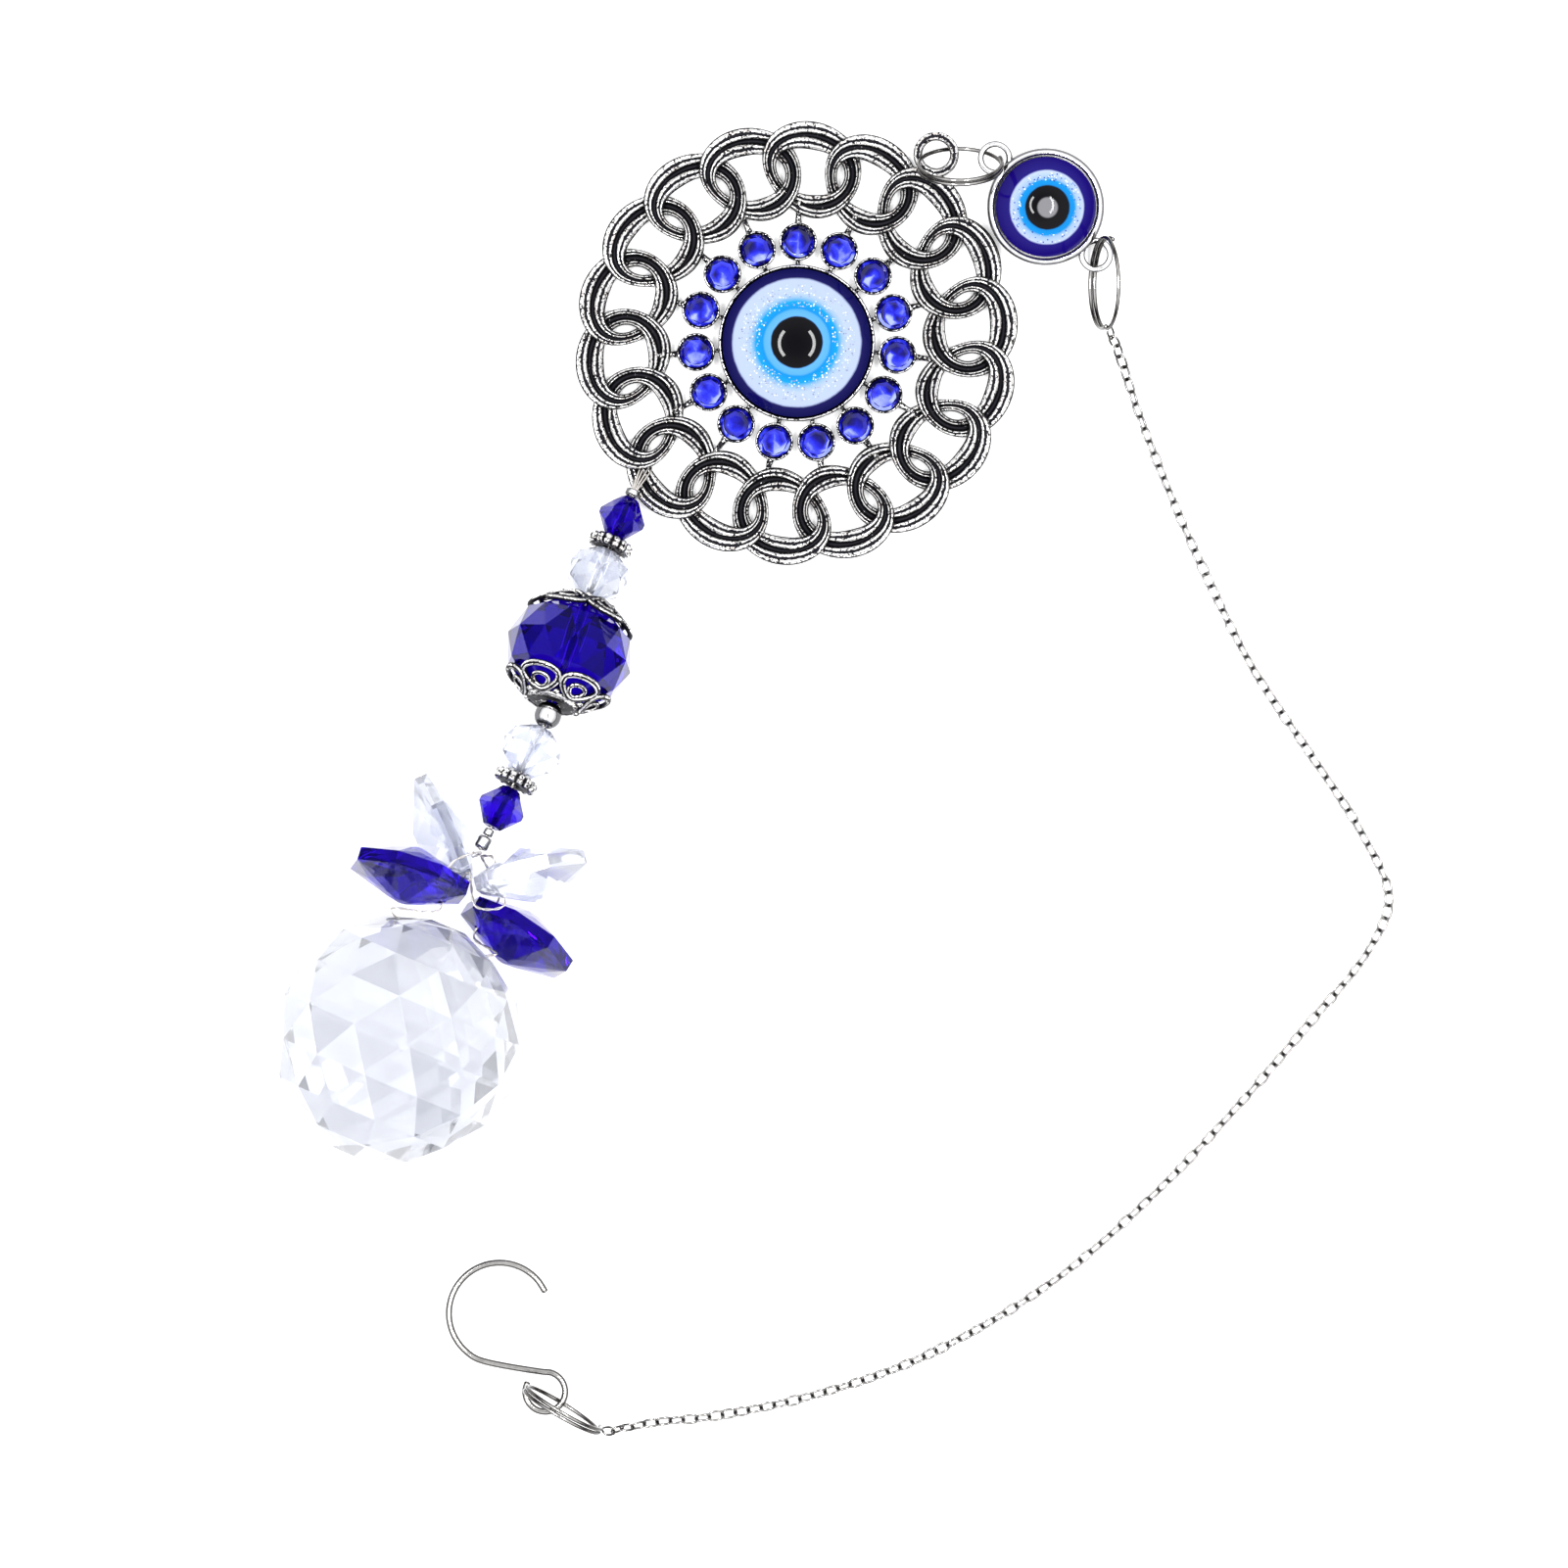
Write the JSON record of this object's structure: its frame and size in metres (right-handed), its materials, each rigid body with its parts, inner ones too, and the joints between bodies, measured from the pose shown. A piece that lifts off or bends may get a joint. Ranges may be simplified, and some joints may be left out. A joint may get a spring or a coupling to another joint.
{
  "type": "evil eye hanging ornament",
  "caption": "Hanging window ornament: woven silver ring with a blue eye and stones, a small eye charm on a fine chain with an open hook, and a string of crystal beads ending in a faceted ball.",
  "frame": {"origin": "middle of the medallion's flat back, where it lies on the table", "axes": "+Y towards the medallion's top edge, +X to its right, +Z out of its face, up from the table"},
  "size_m": [0.1342, 0.1579, 0.0299],
  "materials": {
    "antique_silver": "antiqued, dark in the grooves",
    "bright_silver": "polished",
    "steel_wire": "bright drawn wire",
    "eye_enamel": "glossy, with white, blue and black rings",
    "rhinestone_glass": "faceted, foil-backed",
    "cobalt_crystal": "faceted, polished",
    "clear_crystal": "faceted, polished"
  },
  "bodies": {
    "medallion": {"medallion_casting": "antique_silver", "eye_cabochon": "eye_enamel", "rhinestone_01": "rhinestone_glass", "rhinestone_02": "rhinestone_glass", "rhinestone_03": "rhinestone_glass", "rhinestone_04": "rhinestone_glass", "rhinestone_05": "rhinestone_glass", "rhinestone_06": "rhinestone_glass", "rhinestone_07": "rhinestone_glass", "rhinestone_08": "rhinestone_glass", "rhinestone_09": "rhinestone_glass", "rhinestone_10": "rhinestone_glass", "rhinestone_11": "rhinestone_glass", "rhinestone_12": "rhinestone_glass", "rhinestone_13": "rhinestone_glass", "rhinestone_14": "rhinestone_glass", "rhinestone_15": "rhinestone_glass"},
    "split_ring_upper": {"split_ring_upper": "steel_wire"},
    "charm": {"charm_frame": "bright_silver", "charm_cabochon": "eye_enamel"},
    "split_ring_lower": {"split_ring_lower": "steel_wire"},
    "chain": {"chain": "steel_wire"},
    "hook_ring": {"hook_ring": "steel_wire"},
    "s_hook": {"s_hook": "steel_wire"},
    "string_eye": {"wire_eye": "steel_wire", "crimp_upper": "bright_silver"},
    "string": {"beading_wire": "steel_wire", "crimp_bead": "bright_silver", "crimp_tube": "bright_silver", "wire_loop_blue": "steel_wire", "wire_loop_clear": "steel_wire"},
    "bicone_upper": {"bicone_upper": "cobalt_crystal"},
    "spacer_upper": {"spacer_upper": "antique_silver"},
    "clear_bead_upper": {"clear_bead_upper": "clear_crystal"},
    "bead_cap_upper": {"bead_cap_upper": "antique_silver"},
    "large_bead": {"large_bead": "cobalt_crystal"},
    "bead_cap_lower": {"bead_cap_lower": "antique_silver"},
    "round_bead": {"round_bead": "bright_silver"},
    "clear_bead_lower": {"clear_bead_lower": "clear_crystal"},
    "spacer_lower": {"spacer_lower": "antique_silver"},
    "bicone_lower": {"bicone_lower": "cobalt_crystal"},
    "petal_blue_left": {"petal_blue_left": "cobalt_crystal"},
    "petal_blue_right": {"petal_blue_right": "cobalt_crystal"},
    "petal_clear_upper": {"petal_clear_upper": "clear_crystal"},
    "petal_clear_right": {"petal_clear_right": "clear_crystal"},
    "crystal_ball": {"crystal_ball": "clear_crystal"}
  },
  "joints": [
    {"name": "ring_upper_swing", "type": "hinge", "parent": "medallion", "child": "split_ring_upper", "pos_m": [0.01888, 0.02263, 0.0017], "axis": [0, 1, 0], "range_deg": [-8, 45]},
    {"name": "charm_swing", "type": "hinge", "parent": "split_ring_upper", "child": "charm", "pos_m": [0.0222, 0.02212, 0.0031], "axis": [0, 1, 0], "range_deg": [-10, 14]},
    {"name": "ring_lower_swing", "type": "hinge", "parent": "charm", "child": "split_ring_lower", "pos_m": [0.03595, 0.009, 0.0017], "axis": [1, 0, 0], "range_deg": [-10, 60]},
    {"name": "chain_swing", "type": "hinge", "parent": "split_ring_lower", "child": "chain", "pos_m": [0.037, 0.00165, 0.0055], "axis": [0, 0, 1], "range_deg": [-3, 50]},
    {"name": "hook_ring_swing", "type": "hinge", "parent": "chain", "child": "hook_ring", "pos_m": [-0.02366, -0.13056, 0.0054], "axis": [0, 0, 1], "range_deg": [-40, 40]},
    {"name": "hook_swing", "type": "hinge", "parent": "hook_ring", "child": "s_hook", "pos_m": [-0.0286, -0.12735, 0.0013], "axis": [0, 0, 1], "range_deg": [-38, 50]},
    {"name": "string_front_back", "type": "hinge", "parent": "medallion", "child": "string_eye", "pos_m": [-0.01826, -0.01495, 0.00098], "axis": [-0.6334, 0.7738, 0], "range_deg": [-50, 6]},
    {"name": "string_sideways", "type": "hinge", "parent": "string_eye", "child": "string", "pos_m": [-0.01972, -0.0181, 0.00249], "axis": [0.1009, 0.2365, 0.9664], "range_deg": [-36, 10]},
    {"name": "bicone_upper_spin", "type": "hinge", "parent": "string", "child": "bicone_upper", "pos_m": [-0.02098, -0.02105, 0.00334], "axis": [-0.3792, -0.8889, 0.2571], "continuous": true},
    {"name": "spacer_upper_spin", "type": "hinge", "parent": "string", "child": "spacer_upper", "pos_m": [-0.02234, -0.02423, 0.00426], "axis": [-0.3792, -0.8889, 0.2571], "continuous": true},
    {"name": "clear_bead_upper_spin", "type": "hinge", "parent": "string", "child": "clear_bead_upper", "pos_m": [-0.02383, -0.02774, 0.00528], "axis": [-0.3792, -0.8889, 0.2571], "continuous": true},
    {"name": "bead_cap_upper_spin", "type": "hinge", "parent": "string", "child": "bead_cap_upper", "pos_m": [-0.02725, -0.03716, 0.00848], "axis": [-0.2984, -0.8972, 0.3256], "continuous": true},
    {"name": "large_bead_spin", "type": "hinge", "parent": "string", "child": "large_bead", "pos_m": [-0.02725, -0.03716, 0.00848], "axis": [-0.2984, -0.8972, 0.3256], "continuous": true},
    {"name": "bead_cap_lower_spin", "type": "hinge", "parent": "string", "child": "bead_cap_lower", "pos_m": [-0.02725, -0.03716, 0.00848], "axis": [-0.2984, -0.8972, 0.3256], "continuous": true},
    {"name": "round_bead_spin", "type": "hinge", "parent": "string", "child": "round_bead", "pos_m": [-0.02975, -0.0447, 0.01121], "axis": [-0.2984, -0.8972, 0.3256], "continuous": true},
    {"name": "clear_bead_lower_spin", "type": "hinge", "parent": "string", "child": "clear_bead_lower", "pos_m": [-0.03174, -0.04903, 0.01236], "axis": [-0.4546, -0.8709, 0.1868], "continuous": true},
    {"name": "spacer_lower_spin", "type": "hinge", "parent": "string", "child": "spacer_lower", "pos_m": [-0.03358, -0.05255, 0.01311], "axis": [-0.4546, -0.8709, 0.1868], "continuous": true},
    {"name": "bicone_lower_spin", "type": "hinge", "parent": "string", "child": "bicone_lower", "pos_m": [-0.03528, -0.05582, 0.01381], "axis": [-0.4546, -0.8709, 0.1868], "continuous": true},
    {"name": "petal_blue_left_swing", "type": "hinge", "parent": "string", "child": "petal_blue_left", "pos_m": [-0.04199, -0.0652, 0.01694], "axis": [-0.2747, -0.9293, 0.247], "range_deg": [-8, 8]},
    {"name": "petal_blue_right_swing", "type": "hinge", "parent": "string", "child": "petal_blue_right", "pos_m": [-0.03709, -0.06883, 0.01021], "axis": [-0.5103, -0.8125, 0.2818], "range_deg": [-8, 8]},
    {"name": "petal_clear_upper_swing", "type": "hinge", "parent": "string", "child": "petal_clear_upper", "pos_m": [-0.04071, -0.06251, 0.00913], "axis": [-0.9076, -0.3961, 0.1388], "range_deg": [-8, 8]},
    {"name": "petal_clear_right_swing", "type": "hinge", "parent": "string", "child": "petal_clear_right", "pos_m": [-0.03565, -0.06456, 0.01694], "axis": [0.2256, -0.9644, 0.1377], "range_deg": [-8, 8]},
    {"name": "ball_swing", "type": "hinge", "parent": "string", "child": "crystal_ball", "pos_m": [-0.04238, -0.07116, 0.015], "axis": [0.8634, -0.3709, -0.342], "range_deg": [-12, 12]}
  ]
}
